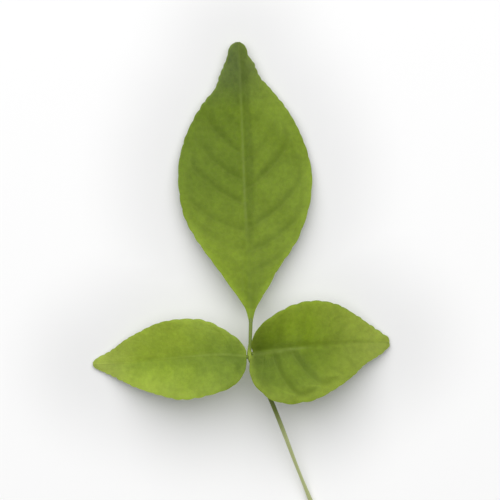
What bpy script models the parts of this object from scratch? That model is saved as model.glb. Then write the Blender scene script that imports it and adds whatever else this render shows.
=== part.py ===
"""A bael leaf, picked and laid on a flat surface, upper side up.

It has a slender petiole that runs on as a short rachis, one long terminal leaflet, and two
lateral leaflets that sit almost without stalks at the leaf joint. Each leaflet is a thin blade
with a scalloped margin, a midrib that stands out below, and side veins that are sunk above and
raised below. The leaf stands on three low points: the terminal midrib, the tip of the left
leaflet and the end of the petiole.

Run it with: blender --background --python part.py
The scene is in metres, +Z up, with the terminal leaflet's tip towards +Y. Sizes are in mm.
"""

import bisect
import math

import bmesh
import bpy
from mathutils import Vector

MM = 0.001

# Driving dimensions
BLADE_THICKNESS = 0.66
LEAF_GREEN = (0.122, 0.200, 0.020, 1.0)
STALK_GREEN = (0.235, 0.290, 0.110, 1.0)

# Each leaflet in its own frame: its base at 0, 0 and its tip on +Y. Outlines run from base to
# tip. A vein is (distance along the midrib, along the left margin, along the right margin).
# Heights are those of the upper face above the surface that the leaf lies on, a fold is how
# steeply each half rises from the midrib, and the crease is how widely that bend is rounded.
TERMINAL = {
    "base": (0.2, 8.8),
    "heading_deg": 2.7,
    "midrib": [(0, 0), (0.2, 15), (0, 31), (0.2, 58), (0, 69.8)],
    "left": [(-0.5, 0), (-1.2, 3.1), (-2.7, 5.7), (-7.3, 12.8), (-12, 19.9), (-15.3, 26.5),
             (-16.4, 33.5), (-16, 41), (-13.4, 48.4), (-9.6, 54.5), (-6.3, 58.3), (-4.7, 62.1),
             (-3, 65.7), (-2.1, 68.6), (-0.5, 69.8)],
    "right": [(0.5, 0), (1.4, 3), (3.3, 6), (7.6, 12.8), (12.5, 19.6), (15.8, 27.4),
              (17, 35), (16.3, 40.8), (14.2, 47.2), (11.4, 52.6), (7.3, 58.2), (5.2, 60.7),
              (3.7, 64.5), (2.5, 66.3), (1.9, 68.6), (0.5, 69.8)],
    "veins": [(0, 0, 0), (7.5, 14, 13.5), (12.5, 22.5, 21), (17.2, 29.5, 31), (22.5, 36.5, 41),
              (29, 46.5, 48.5), (34.5, 52.3, 53.3), (41.3, 59, 58.5), (47.5, 63.7, 63.5),
              (53, 67.5, 67.5), (58.5, 71, 71), (64, 74.5, 74.7)],
    "height": [(0, 7.3), (6, 5.6), (12, 3.8), (20, 2.1), (28, 1.25), (35, 1.06), (43, 1.04),
               (51, 1.02), (57, 1.35), (63, 2.1), (69.8, 3.3)],
    "fold_left": [(0, 0.3), (15, 0.24), (40, 0.2), (60, 0.22), (69.8, 0.1)],
    "fold_right": [(0, 0.3), (15, 0.2), (40, 0.15), (60, 0.18), (69.8, 0.1)],
    "ridge_depth": [(0, 0.45), (20, 0.5), (40, 0.42), (52, 0.4), (69.8, 0.08)],
    "ridge_half_width": [(0, 0.4), (20, 0.42), (50, 0.34), (69.8, 0.15)],
    "wave": 0.45,
    "wave_length": 21.0,
    "reach": 19.0,
    "crease": 0.7,
}
LEFT = {
    "base": (-0.95, -0.1),
    "heading_deg": 93.0,
    "midrib": [(0, 0), (0.7, 5), (0.8, 10.3), (0.4, 21.6), (-0.1, 30), (0, 38.5)],
    "left": [(-0.4, 0), (-1.6, 0), (-3.5, 0.5), (-5.2, 1.6), (-6.8, 3.3), (-8, 6), (-9.2, 11.1),
             (-9.7, 17), (-8.2, 22.6), (-6.1, 28.3), (-3.1, 33.9), (-1.3, 37.5), (-0.4, 38.5)],
    "right": [(0.4, 0), (1.4, -0.1), (2.9, 0.5), (4.7, 1.9), (7.5, 5.6), (9.7, 10), (10.3, 15.5),
              (9.6, 21.3), (7.7, 26), (5.6, 30.2), (3.2, 33.7), (1.5, 37.3), (0.4, 38.5)],
    "veins": [(0, 0, 0), (1.5, 8, 7), (5, 15, 14), (9.5, 21, 20.5), (14.5, 26.5, 26),
              (19.5, 31, 31), (24.5, 35, 35), (29.5, 38.8, 38.8), (34, 42, 42)],
    "height": [(0, 10.2), (5, 10.8), (11, 10.2), (17, 8.0), (23, 5.1), (29, 2.6), (34, 1.15),
               (38.5, 0.7)],
    "fold_left": [(0, 0.2), (12, 0.16), (28, 0.12), (38.5, 0.05)],
    "fold_right": [(0, 0.25), (10, 0.12), (28, 0.08), (38.5, 0.05)],
    "ridge_depth": [(0, 0.35), (20, 0.36), (37, 0.08), (38.5, 0.04)],
    "ridge_half_width": [(0, 0.34), (20, 0.3), (38.5, 0.16)],
    "wave": 0.35,
    "wave_length": 15.0,
    "reach": 12.0,
    "crease": 4.5,
}
RIGHT = {
    "base": (0.95, 0.85),
    "heading_deg": -85.6,
    "midrib": [(0, 0), (-0.4, 6.7), (-0.8, 16.7), (-0.6, 28), (0, 34.1)],
    "left": [(-0.4, 0), (-1.8, -0.5), (-3.8, 0), (-5.7, 1.2), (-7.5, 3), (-10, 7.3),
             (-11.7, 12.6), (-11.7, 17.6), (-10.3, 22), (-7.8, 25.7), (-4.9, 29.3), (-2.2, 32.6),
             (-1.3, 33.8), (-0.4, 34.1)],
    "right": [(0.4, 0), (1.6, -0.9), (3.6, -1.4), (5.8, -1.2), (8.4, 0.1), (11.4, 2.9),
              (13, 6.9), (13.1, 10.5), (12.4, 14.9), (10.1, 20), (7.7, 24.1), (5, 27.5),
              (3.3, 30.9), (1.3, 33.8), (0.4, 34.1)],
    "veins": [(0, 0, 0), (1, 7, 11), (4.6, 14.5, 21.5), (9.6, 21.5, 29), (14.2, 27.3, 33.8),
              (18.8, 31.8, 37.6), (23.4, 35.8, 40.9), (28.2, 39.7, 44)],
    "height": [(0, 10.2), (5, 11.0), (11, 10.8), (17, 8.5), (23, 5.1), (28, 2.8), (34.1, 0.95)],
    "fold_left": [(0, 0.95), (3, 0.65), (7, 0.3), (12, 0.08), (34.1, 0.02)],
    "fold_right": [(0, 0.3), (8, 0.24), (20, 0.18), (34.1, 0.08)],
    "ridge_depth": [(0, 0.35), (18, 0.36), (34.1, 0.06)],
    "ridge_half_width": [(0, 0.34), (18, 0.3), (34.1, 0.16)],
    "wave": 0.3,
    "wave_length": 13.0,
    "reach": 13.0,
    "crease": 2.0,
}

# Side veins and margin
RIB_DEPTH = 0.26
RIB_HALF_WIDTH = 0.42
GROOVE_DEPTH = 0.10
QUILT_HEIGHT = 0.24
SCALLOP_DEPTH = 0.24
SCALLOP_FREE = 9.0
ROW_BOW = 0.16
FOOT_WIDTH = 0.45
COLUMNS = (0.2, 0.4, 0.6, 0.8, 1.0)

# Petiole and rachis: x, y and height of the centre line, and the radius along it
STALK_LINE = [(16.9, -40.0, 0.62), (16.2, -38.2, 0.64), (15.4, -36.2, 0.88), (11.8, -27.3, 2.7),
              (8.5, -18.6, 5.0), (5.3, -10.9, 7.2), (2.2, -4.6, 8.6), (0.0, 0.0, 9.15),
              (0.05, 3.6, 8.75), (0.18, 8.5, 7.2)]
STALK_RADIUS = [(0, 0.72), (1.2, 0.7), (4, 0.56), (25, 0.54), (40, 0.6), (43.8, 0.66),
                (46, 0.5), (52.4, 0.46)]
STALK_SIDES = 11
STALK_STEP = 1.6
CHANNEL_DEPTH = 0.22


class Route:
    """A smooth line through a few points, walked by the distance from its start."""

    def __init__(self, points, steps=12):
        points = [Vector(p) for p in points]
        ends = [points[0], *points, points[-1]]
        self.points = [
            smooth_between(*ends[i:i + 4], k / steps)
            for i in range(len(points) - 1)
            for k in range(steps)
        ]
        self.points.append(points[-1])
        self.marks = [0.0]
        for a, b in zip(self.points, self.points[1:]):
            self.marks.append(self.marks[-1] + (b - a).length)
        self.length = self.marks[-1]

    def at(self, distance):
        distance = min(max(distance, 0.0), self.length)
        i = min(bisect.bisect_right(self.marks, distance), len(self.marks) - 1)
        share = (distance - self.marks[i - 1]) / (self.marks[i] - self.marks[i - 1])
        return self.points[i - 1].lerp(self.points[i], share)


def smooth_between(before, start, end, after, t):
    """The Catmull-Rom point between start and end."""
    return 0.5 * (
        2 * start
        + (end - before) * t
        + (2 * before - 5 * start + 4 * end - after) * t**2
        + (3 * start - before - 3 * end + after) * t**3
    )


def level(profile, y):
    """The value at y of a smooth profile given as (y, value) pairs."""
    places = [p[0] for p in profile]
    if y <= places[0]:
        return profile[0][1]
    if y >= places[-1]:
        return profile[-1][1]
    i = bisect.bisect_right(places, y)
    ends = [profile[max(i - 2, 0)], profile[i - 1], profile[i], profile[min(i + 1, len(profile) - 1)]]
    t = (y - ends[1][0]) / (ends[2][0] - ends[1][0])
    return smooth_between(*[Vector((value, 0)) for _, value in ends], t)[0]


def rows_of(veins, lengths):
    """Cross rows from base to tip: (three distances, share of the way to the next vein).

    A row lies on each vein, close beside it on both sides, and at the quarters between, which
    puts two scallops of the margin between neighbouring veins.
    """
    stations = [*veins, lengths]
    rows = []
    for here, after in zip(stations, stations[1:]):
        edge = RIB_HALF_WIDTH / max(after[0] - here[0], 3.5)
        for share in (0.0, edge, 0.25, 0.5, 0.75, 1.0 - edge):
            rows.append(([a + (b - a) * share for a, b in zip(here, after)], share))
    rows.append((list(lengths), 0.0))
    return rows


def fold_height(leaflet, side, across, y):
    """How far the blade rises above its midrib at a distance across."""
    slope = level(leaflet["fold_left" if side < 0 else "fold_right"], y)
    rise = math.hypot(across, leaflet["crease"]) - leaflet["crease"]
    share = across / leaflet["reach"]
    wave = math.sin(2 * math.pi * y / leaflet["wave_length"] + 1.1 * side)
    return slope * rise * (1 - 0.5 * share) + leaflet["wave"] * wave * share**2


def half_row(leaflet, side, midrib_point, margin_point, share):
    """(x, y, upper height, lower height) of one row's points, from the midrib to the margin."""
    chord = margin_point - midrib_point
    half_width = min(level(leaflet["ridge_half_width"], midrib_point.y), 0.6 * chord.length)
    foot = min(half_width + FOOT_WIDTH, 0.8 * chord.length)
    bend = midrib_point + 0.5 * chord - Vector((0, ROW_BOW * chord.length))
    spine = level(leaflet["height"], midrib_point.y)
    distances = [half_width, foot] + [foot + (chord.length - foot) * c for c in COLUMNS]
    points = []
    for column, distance in enumerate(distances):
        q = distance / chord.length
        place = (1 - q) ** 2 * midrib_point + 2 * q * (1 - q) * bend + q**2 * margin_point
        across = (place - midrib_point).length
        along = 0.5 * (midrib_point.y + max(place.y, 0.0))
        swell = math.sin(math.pi * q) * math.sin(math.pi * share) ** 2
        upper = level(leaflet["height"], along) + fold_height(leaflet, side, across, along)
        upper += QUILT_HEIGHT * swell
        lower = upper - BLADE_THICKNESS
        if column == 0:
            upper = spine
            lower = spine - BLADE_THICKNESS - level(leaflet["ridge_depth"], midrib_point.y)
        elif share == 0.0:
            fade = 1 - q
            upper -= GROOVE_DEPTH * fade
            lower -= RIB_DEPTH * fade
        points.append((place.x, place.y, upper, max(lower, 0.0)))
    return points


def scalloped(outline, distance, share, side):
    """The margin's point, moved out to the crown of its scallop between two notches."""
    point = outline.at(distance)
    ahead = outline.at(distance + 0.5) - outline.at(distance - 0.5)
    outward = Vector((ahead.y, -ahead.x)).normalized() * side
    crown = abs(math.sin(2 * math.pi * share)) - 0.5
    fade = min(distance / SCALLOP_FREE, (outline.length - distance) / 3.0, 1.0)
    return point + outward * SCALLOP_DEPTH * crown * max(fade, 0.0)


def blade_rows(leaflet):
    """The leaflet's rows, each from the left margin over the midrib to the right margin."""
    midrib, left, right = (Route(leaflet[key]) for key in ("midrib", "left", "right"))
    rows = []
    for (on_midrib, on_left, on_right), share in rows_of(
        leaflet["veins"], (midrib.length, left.length, right.length)
    ):
        spine = midrib.at(on_midrib)
        left_half = half_row(leaflet, -1, spine, scalloped(left, on_left, share, -1), share)
        right_half = half_row(leaflet, 1, spine, scalloped(right, on_right, share, 1), share)
        rows.append(left_half[::-1] + right_half)
    return rows


def make_object(name, bm, material, root):
    """An object from a bmesh, smooth but for its sharp edges, in the leaf's own group."""
    bmesh.ops.recalc_face_normals(bm, faces=bm.faces)
    mesh = bpy.data.meshes.new(name)
    bm.to_mesh(mesh)
    bm.free()
    mesh.shade_smooth()
    mesh.set_sharp_from_angle(angle=math.radians(50))
    mesh.materials.append(material)
    obj = bpy.data.objects.new(name, mesh)
    bpy.context.scene.collection.objects.link(obj)
    obj.parent = root
    return obj


def make_leaflet(name, leaflet, material, root):
    """A closed blade whose two faces are split into triangles alike."""
    bm = bmesh.new()
    rows = blade_rows(leaflet)
    upper = [[bm.verts.new(Vector((x, y, top)) * MM) for x, y, top, _ in row] for row in rows]
    lower = [[bm.verts.new(Vector((x, y, low)) * MM) for x, y, _, low in row] for row in rows]
    last = len(upper[0]) - 1
    for i in range(len(rows) - 1):
        for c in range(last):
            corners = [(i, c), (i, c + 1), (i + 1, c + 1), (i + 1, c)]
            if c >= last // 2:
                corners = corners[1:] + corners[:1]
            for trio in (corners[:3], [corners[0], corners[2], corners[3]]):
                bm.faces.new([upper[a][b] for a, b in trio])
                bm.faces.new([lower[a][b] for a, b in reversed(trio)])
        for c in (0, last):
            bm.faces.new([upper[i][c], upper[i + 1][c], lower[i + 1][c]])
            bm.faces.new([upper[i][c], lower[i + 1][c], lower[i][c]])
    for end in (0, -1):
        for c in range(last):
            bm.faces.new([upper[end][c], lower[end][c], lower[end][c + 1]])
            bm.faces.new([upper[end][c], lower[end][c + 1], upper[end][c + 1]])
    obj = make_object(name, bm, material, root)
    obj.location = Vector((*leaflet["base"], 0)) * MM
    obj.rotation_euler.z = math.radians(leaflet["heading_deg"])
    return obj


def make_petiole(material, root):
    """The petiole and rachis: a tapered stalk with a shallow channel along its upper side."""
    line = Route(STALK_LINE)
    count = round(line.length / STALK_STEP)
    bm = bmesh.new()
    rings = []
    for i in range(count + 1):
        distance = line.length * i / count
        centre = line.at(distance)
        ahead = (line.at(distance + 0.4) - line.at(distance - 0.4)).normalized()
        sideways = ahead.cross(Vector((0, 0, 1))).normalized()
        up = sideways.cross(ahead)
        radius = level(STALK_RADIUS, distance)
        ring = []
        for k in range(STALK_SIDES):
            angle = 2 * math.pi * k / STALK_SIDES + math.pi / 2
            lift = math.sin(angle) - (CHANNEL_DEPTH if k == 0 else 0)
            place = centre + radius * (math.cos(angle) * sideways + lift * up)
            place.z = max(place.z, 0.0)
            ring.append(bm.verts.new(place * MM))
        rings.append(ring)
    for here, after in zip(rings, rings[1:]):
        for k in range(STALK_SIDES):
            n = (k + 1) % STALK_SIDES
            bm.faces.new([here[k], here[n], after[n]])
            bm.faces.new([here[k], after[n], after[k]])
    bm.faces.new(rings[0])
    bm.faces.new(rings[-1])
    return make_object("petiole", bm, material, root)


def green(name, colour, roughness):
    material = bpy.data.materials.new(name)
    material.use_nodes = True
    shader = material.node_tree.nodes["Principled BSDF"]
    shader.inputs["Base Color"].default_value = colour
    shader.inputs["Roughness"].default_value = roughness
    shader.inputs["Metallic"].default_value = 0.0
    return material


def centre_on_footprint(root):
    """Moves the leaf so that the origin is under the middle of its bounding box."""
    bpy.context.view_layer.update()
    corners = [
        child.matrix_world @ vertex.co
        for child in root.children
        for vertex in child.data.vertices
    ]
    for axis in (0, 1):
        values = [corner[axis] for corner in corners]
        root.location[axis] = -0.5 * (min(values) + max(values))


def main():
    for obj in list(bpy.data.objects):
        bpy.data.objects.remove(obj)
    root = bpy.data.objects.new("leaf_joint", None)
    bpy.context.scene.collection.objects.link(root)
    blade = green("leaf_blade", LEAF_GREEN, 0.5)
    make_leaflet("terminal_leaflet", TERMINAL, blade, root)
    make_leaflet("left_leaflet", LEFT, blade, root)
    make_leaflet("right_leaflet", RIGHT, blade, root)
    make_petiole(green("leaf_stalk", STALK_GREEN, 0.45), root)
    centre_on_footprint(root)


main()
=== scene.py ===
# %% [markdown]
# # A bael leaf, dressed around its frame
#
# A bael leaf is one compound leaf: a slender petiole with a pair of lateral leaflets and one long
# terminal leaflet. Its solids are loaded first, as a frame that never moves. Each of them is then
# replaced by a finer piece of the same form, with its veins, its net and its thin margin.

# %% Load the frame and keep its size
import math
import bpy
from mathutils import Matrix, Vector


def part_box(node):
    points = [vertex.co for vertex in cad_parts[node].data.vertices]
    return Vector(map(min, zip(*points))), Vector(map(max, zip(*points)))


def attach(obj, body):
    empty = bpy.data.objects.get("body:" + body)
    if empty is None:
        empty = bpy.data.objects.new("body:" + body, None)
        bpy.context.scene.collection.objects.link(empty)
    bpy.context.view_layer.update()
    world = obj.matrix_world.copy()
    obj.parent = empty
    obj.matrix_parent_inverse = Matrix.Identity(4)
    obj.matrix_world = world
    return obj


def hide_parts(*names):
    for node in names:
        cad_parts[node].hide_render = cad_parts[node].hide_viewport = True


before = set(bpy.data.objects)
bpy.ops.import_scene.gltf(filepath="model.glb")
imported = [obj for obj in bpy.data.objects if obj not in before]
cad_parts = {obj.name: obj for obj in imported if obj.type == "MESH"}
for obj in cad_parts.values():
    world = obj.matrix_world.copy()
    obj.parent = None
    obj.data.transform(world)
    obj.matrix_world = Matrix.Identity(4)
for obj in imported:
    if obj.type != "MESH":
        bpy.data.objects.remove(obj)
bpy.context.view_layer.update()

from types import SimpleNamespace

import bpy
import numpy as np
from mathutils import Vector, kdtree

bpy.ops.object.select_all(action="DESELECT")
print("nodes:", sorted(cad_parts))

# %% [markdown]
# ## Units and place
#
# All sizes below are millimetres, and MM turns them to Blender's metres. The leaf joint is where
# the lateral leaflets meet the stalk, and every piece is placed from it. Its own place follows
# from the petiole's box, because the stalk's lower end lies in one of the corners.

# %% Find the leaf joint in the frame
MM = 0.001
JOINT_TO_STALK_END = Vector((17.57, -40.26))
LEAF_JOINT = Vector((
    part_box("petiole")[1].x / MM - JOINT_TO_STALK_END.x,
    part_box("petiole")[0].y / MM - JOINT_TO_STALK_END.y,
))
print("leaf joint in mm:", [round(v, 2) for v in LEAF_JOINT])

# %% [markdown]
# ## Smooth lines through a few points
#
# Margins, midribs and the stalk are smooth lines through a few points. Blender's curves could
# draw them, but here a line has to tell its place at any distance from its start. What changes
# along a leaflet is a smooth curve through (place, value) pairs.

# %% Draw a line and a profile through their points
STEPS_TO_A_SPAN = 12


def blend_of(before, start, end, after, t):
    """The place on a smooth curve from start to end that heeds the points before and after."""
    return 0.5 * (
        2 * start
        + (end - before) * t
        + (2 * before - 5 * start + 4 * end - after) * t**2
        + (3 * start - before - 3 * end + after) * t**3
    )


class Line:
    """A smooth line through a few points, measured by the distance from its start."""

    def __init__(self, points):
        p = np.array(points, float)
        p = np.vstack([p[:1], p, p[-1:]])
        t = np.linspace(0, 1, STEPS_TO_A_SPAN, endpoint=False)[:, None]
        spans = [blend_of(*p[i:i + 4], t) for i in range(len(p) - 3)]
        self.points = np.vstack([*spans, p[-1:]])
        steps = np.linalg.norm(np.diff(self.points, axis=0), axis=1)
        self.marks = np.concatenate([[0.0], np.cumsum(steps)])
        self.length = self.marks[-1]

    def at(self, distance):
        """The points at these distances from the start."""
        return np.stack([np.interp(distance, self.marks, c) for c in self.points.T], axis=-1)


def profile(pairs, y):
    """A smooth curve through (place, value) pairs, read at y."""
    place, value = np.array(pairs, float).T
    slope = np.gradient(value, place)
    y = np.clip(y, place[0], place[-1])
    i = np.clip(np.searchsorted(place, y, side="right") - 1, 0, len(place) - 2)
    gap = place[i + 1] - place[i]
    t = (y - place[i]) / gap
    return (
        value[i] * (1 + 2 * t) * (1 - t) ** 2
        + slope[i] * gap * t * (1 - t) ** 2
        + value[i + 1] * t**2 * (3 - 2 * t)
        + slope[i + 1] * gap * t**2 * (t - 1)
    )


print("an arch 2 wide and 1 high is", round(Line([(0, 0), (1, 1), (2, 0)]).length, 2), "long")

# %% [markdown]
# ## The three leaflets in numbers
#
# Each leaflet is described in its own frame, with its base at 0, 0 and its tip on +Y. Two margins
# and a midrib give its outline. Stations tie a place on the midrib to one on each margin, and
# curved rows of points run between them. Heights, folds and a slight wave say how the blade lies.
# Each half has its own side veins, as (distance along the midrib, distance along the margin, how
# deep it lies).
#
# The other lists are (distance along the midrib, value) pairs. channel is how deep the midrib
# lies. A band of painted shade lies beside the midrib, given by its place, width and strength, and
# midrib_line is the pale line of the midrib itself. Painted shade also darkens the blade along the
# midrib near its base, and the two rims are the yellower green that grows in from the margins.

# %% Describe the terminal leaflet
TERMINAL = {
    "base": (0.2, 8.8),
    "heading_deg": 2.7,
    "midrib": [(0, 0), (0.2, 15), (0, 31), (0.2, 58), (0, 69.8)],
    "left": [(-0.5, 0), (-1.2, 3.1), (-2.7, 5.7), (-7.3, 12.8), (-12, 19.9), (-15.3, 26.5),
             (-16.4, 33.5), (-16, 41), (-13.4, 48.4), (-9.6, 54.5), (-6.3, 58.3), (-4.7, 62.1),
             (-3, 65.7), (-2.1, 68.6), (-0.5, 69.8)],
    "right": [(0.5, 0), (1.4, 3), (3.3, 6), (7.6, 12.8), (12.5, 19.6), (15.8, 27.4),
              (17, 35), (16.3, 40.8), (14.2, 47.2), (11.4, 52.6), (7.3, 58.2), (5.2, 60.7),
              (3.7, 64.5), (2.5, 66.3), (1.9, 68.6), (0.5, 69.8)],
    "stations": [(0, 0, 0), (7.5, 14, 13.5), (12.5, 22.5, 21), (17.2, 29.5, 31),
                 (22.5, 36.5, 41), (29, 46.5, 48.5), (34.5, 52.3, 53.3), (41.3, 59, 58.5),
                 (47.5, 63.7, 63.5), (53, 67.5, 67.5), (58.5, 71, 71), (64, 74.5, 74.7)],
    "left_veins": [(7.5, 14.5, 0.2), (12.7, 22.8, 0.25), (17.4, 30.3, 0.35), (22.2, 37, 0.65),
                   (29.2, 46.2, 0.9), (34.9, 52.4, 0.65), (41.3, 58.8, 0.7), (47.6, 63.6, 0.35),
                   (53.2, 67.5, 0.25), (58.5, 71, 0.2)],
    "right_veins": [(6.8, 12.5, 0.3), (12, 22, 0.55), (17.2, 32, 0.8), (22.8, 41.5, 0.95),
                    (32.6, 52, 0.85), (39.5, 57.5, 0.35), (46, 62.5, 0.3), (52, 67, 0.3),
                    (57.6, 70.6, 0.2)],
    "height": [(0, 7.3), (6, 5.6), (12, 3.8), (20, 2.1), (28, 1.25), (35, 1.06), (43, 1.04),
               (51, 1.02), (57, 1.35), (63, 2.1), (69.8, 3.3)],
    "fold_left": [(0, 0.3), (15, 0.24), (40, 0.2), (60, 0.22), (69.8, 0.1)],
    "fold_right": [(0, 0.3), (15, 0.2), (40, 0.15), (60, 0.18), (69.8, 0.1)],
    "ridge_depth": [(0, 0.45), (20, 0.5), (40, 0.42), (52, 0.4), (69.8, 0.08)],
    "ridge_half_width": [(0, 0.4), (20, 0.42), (50, 0.34), (69.8, 0.15)],
    "wave": 0.45,
    "wave_length": 21.0,
    "reach": 19.0,
    "crease": 0.7,
    "channel": [(0, 0.4), (20, 0.6), (69.8, 1)],
    "midrib_painted_shade": ([(0, 0.2), (18, 0.6), (28, 1.6), (69.8, 1.6)], 1.5,
                    [(0, 0.5), (16, 0.5), (26, 1.3), (55, 1.45), (69.8, 0.8)]),
    "midrib_line": (-0.1, [(0, 0), (19, 0), (27, 0.5), (50, 0.45), (69.8, 0.2)]),
    "base_shade": [(0, 1), (8, 0.6), (16, 0.1), (24, 0), (69.8, 0)],
    "rim_left": [(0, 0.9), (14, 1), (24, 0.3), (32, 0), (69.8, 0)],
    "rim_right": [(0, 0.7), (20, 0.7), (30, 0.4), (46, 0.6), (60, 0.3), (69.8, 0.2)],
    "columns": 128,
    "row_step": 0.265,
}
print("terminal leaflet:", TERMINAL["midrib"][-1][1], "mm long")

# %% Describe the left leaflet, long and narrow, with faint side veins
LEFT = {
    "base": (-0.95, -0.1),
    "heading_deg": 93.0,
    "midrib": [(0, 0), (0.7, 5), (0.8, 10.3), (0.4, 21.6), (-0.1, 30), (0, 38.5)],
    "left": [(-0.4, 0), (-1.6, 0), (-3.5, 0.5), (-5.2, 1.6), (-6.8, 3.3), (-8, 6), (-9.2, 11.1),
             (-9.7, 17), (-8.2, 22.6), (-6.1, 28.3), (-3.1, 33.9), (-1.3, 37.5), (-0.4, 38.5)],
    "right": [(0.4, 0), (1.4, -0.1), (2.9, 0.5), (4.7, 1.9), (7.5, 5.6), (9.7, 10), (10.3, 15.5),
              (9.6, 21.3), (7.7, 26), (5.6, 30.2), (3.2, 33.7), (1.5, 37.3), (0.4, 38.5)],
    "stations": [(0, 0, 0), (1.5, 8, 7), (5, 15, 14), (9.5, 21, 20.5), (14.5, 26.5, 26),
                 (19.5, 31, 31), (24.5, 35, 35), (29.5, 38.8, 38.8), (34, 42, 42)],
    "left_veins": [(1.2, 7, 0.2), (4.6, 14, 0.3), (9.2, 20.5, 0.35), (14.3, 26, 0.35),
                   (19.2, 30.7, 0.3), (24.3, 34.8, 0.3), (29.2, 38.4, 0.25), (33.6, 41.6, 0.2)],
    "right_veins": [(1.8, 7.5, 0.2), (5.6, 14.6, 0.35), (10.4, 21.2, 0.35), (15.2, 26.8, 0.3),
                    (20.2, 31.6, 0.3), (25.2, 35.6, 0.3), (30, 39.2, 0.25), (34.2, 42.2, 0.2)],
    "height": [(0, 10.2), (5, 10.8), (11, 10.2), (17, 8.0), (23, 5.1), (29, 2.6), (34, 1.15),
               (38.5, 0.7)],
    "fold_left": [(0, 0.2), (12, 0.16), (28, 0.12), (38.5, 0.05)],
    "fold_right": [(0, 0.25), (10, 0.12), (28, 0.08), (38.5, 0.05)],
    "ridge_depth": [(0, 0.35), (20, 0.36), (37, 0.08), (38.5, 0.04)],
    "ridge_half_width": [(0, 0.34), (20, 0.3), (38.5, 0.16)],
    "wave": 0.35,
    "wave_length": 15.0,
    "reach": 12.0,
    "crease": 4.5,
    "channel": [(0, 0.1), (38.5, 0.1)],
    "midrib_painted_shade": ([(0, -1), (38.5, -0.8)], 1.5, [(0, 0.7), (12, 0.7), (30, 0.6), (38.5, 0.3)]),
    "midrib_line": (0.3, [(0, 0.2), (6, 0.35), (18, 0.25), (24, 0), (38.5, 0)]),
    "base_shade": [(0, 1), (9, 0.8), (17, 0.5), (24, 0.2), (30, 0.05), (38.5, 0)],
    "rim_left": [(0, 0.3), (7, 0.6), (14, 0.9), (20, 1), (27, 0.45), (38.5, 0.4)],
    "rim_right": [(0, 0.5), (8, 0.6), (14, 0.4), (20, 0.6), (38.5, 1)],
    "columns": 112,
    "row_step": 0.2,
}
print("left leaflet:", LEFT["midrib"][-1][1], "mm long")

# %% Describe the right leaflet, broad, with two deep side veins on its right
RIGHT = {
    "base": (0.95, 0.85),
    "heading_deg": -85.6,
    "midrib": [(0, 0), (-0.4, 6.7), (-0.8, 16.7), (-0.6, 28), (0, 34.1)],
    "left": [(-0.4, 0), (-1.8, -0.5), (-3.8, 0), (-5.7, 1.2), (-7.5, 3), (-10, 7.3),
             (-11.7, 12.6), (-11.7, 17.6), (-10.3, 22), (-7.8, 25.7), (-4.9, 29.3), (-2.2, 32.6),
             (-1.3, 33.8), (-0.4, 34.1)],
    "right": [(0.4, 0), (1.6, -0.9), (3.6, -1.4), (5.8, -1.2), (8.4, 0.1), (11.4, 2.9),
              (13, 6.9), (13.1, 10.5), (12.4, 14.9), (10.1, 20), (7.7, 24.1), (5, 27.5),
              (3.3, 30.9), (1.3, 33.8), (0.4, 34.1)],
    "stations": [(0, 0, 0), (1, 7, 11), (4.6, 14.5, 21.5), (9.6, 21.5, 29), (14.2, 27.3, 33.8),
                 (18.8, 31.8, 37.6), (23.4, 35.8, 40.9), (28.2, 39.7, 44)],
    "left_veins": [(1.2, 7.5, 0.3), (5.4, 15.6, 0.4), (10.4, 22.4, 0.4), (15, 27.8, 0.35),
                   (19.6, 32.2, 0.35), (24.2, 36.2, 0.3), (28.8, 40, 0.25)],
    "right_veins": [(0.8, 9.5, 0.12), (4.5, 21.3, 1.4), (9.1, 28.8, 1.5), (14.2, 34, 0.4),
                    (18.8, 37.7, 0.35), (23.4, 41, 0.3), (28, 44, 0.25)],
    "height": [(0, 10.2), (5, 11.0), (11, 10.8), (17, 8.5), (23, 5.1), (28, 2.8), (34.1, 0.95)],
    "fold_left": [(0, 0.95), (3, 0.65), (7, 0.3), (12, 0.08), (34.1, 0.02)],
    "fold_right": [(0, 0.3), (8, 0.24), (20, 0.18), (34.1, 0.08)],
    "ridge_depth": [(0, 0.35), (18, 0.36), (34.1, 0.06)],
    "ridge_half_width": [(0, 0.34), (18, 0.3), (34.1, 0.16)],
    "wave": 0.3,
    "wave_length": 13.0,
    "reach": 13.0,
    "crease": 2.0,
    "channel": [(0, 0.6), (12, 0.8), (34.1, 0.8)],
    "midrib_painted_shade": ([(0, -1.2), (10, -0.9), (16, -0.2), (34.1, -0.1)], 0.9,
                    [(0, 0.9), (4, 0.8), (9, 0.4), (16, 0.6), (25, 0.55), (34.1, 0.2)]),
    "midrib_line": (0.3, [(0, 0.2), (4, 0.6), (11, 0.7), (15, 0), (34.1, 0)]),
    "base_shade": [(0, 1.7), (5, 1.2), (9, 0.9), (14, 0.45), (20, 0), (34.1, 0)],
    "rim_left": [(0, 0.3), (8, 0.4), (16, 0.5), (24, 0.7), (34.1, 0.45)],
    "rim_right": [(0, 0.6), (12, 0.55), (18, 0.2), (26, 0), (34.1, 0.1)],
    "columns": 124,
    "row_step": 0.2,
}
print("right leaflet:", RIGHT["midrib"][-1][1], "mm long")
LEAFLETS = (TERMINAL, LEFT, RIGHT)

# %% [markdown]
# ## Laying a grid out as a blade
#
# A leaf blade is a sheet, so the start is a flat grid primitive. Its columns run from the left
# margin over the midrib to the right margin, and its rows from the base to the tip. Edit mode has
# no tool that fits a grid into an outline, so the grid's own points are moved by formula: each row
# becomes a curve between its three stations. The columns stand closer at the midrib and at the
# margins, where the form turns most.

# %% Lay out the rows and columns
ROW_BOW = 0.16
SCALLOP_DEPTH = 0.17
SCALLOP_SPREAD = 0.7
SCALLOP_FREE = 9.0
SCALLOP_SEED = 7
MOST_SCALLOPS = 64
TIP_FREE = 3.0
MARGIN_PROBE = 0.5
COLUMN_CROWDING = 0.09


def lines_of(leaflet):
    """The midrib, the left margin and the right margin as lines."""
    return [Line(leaflet[key]) for key in ("midrib", "left", "right")]


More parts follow.
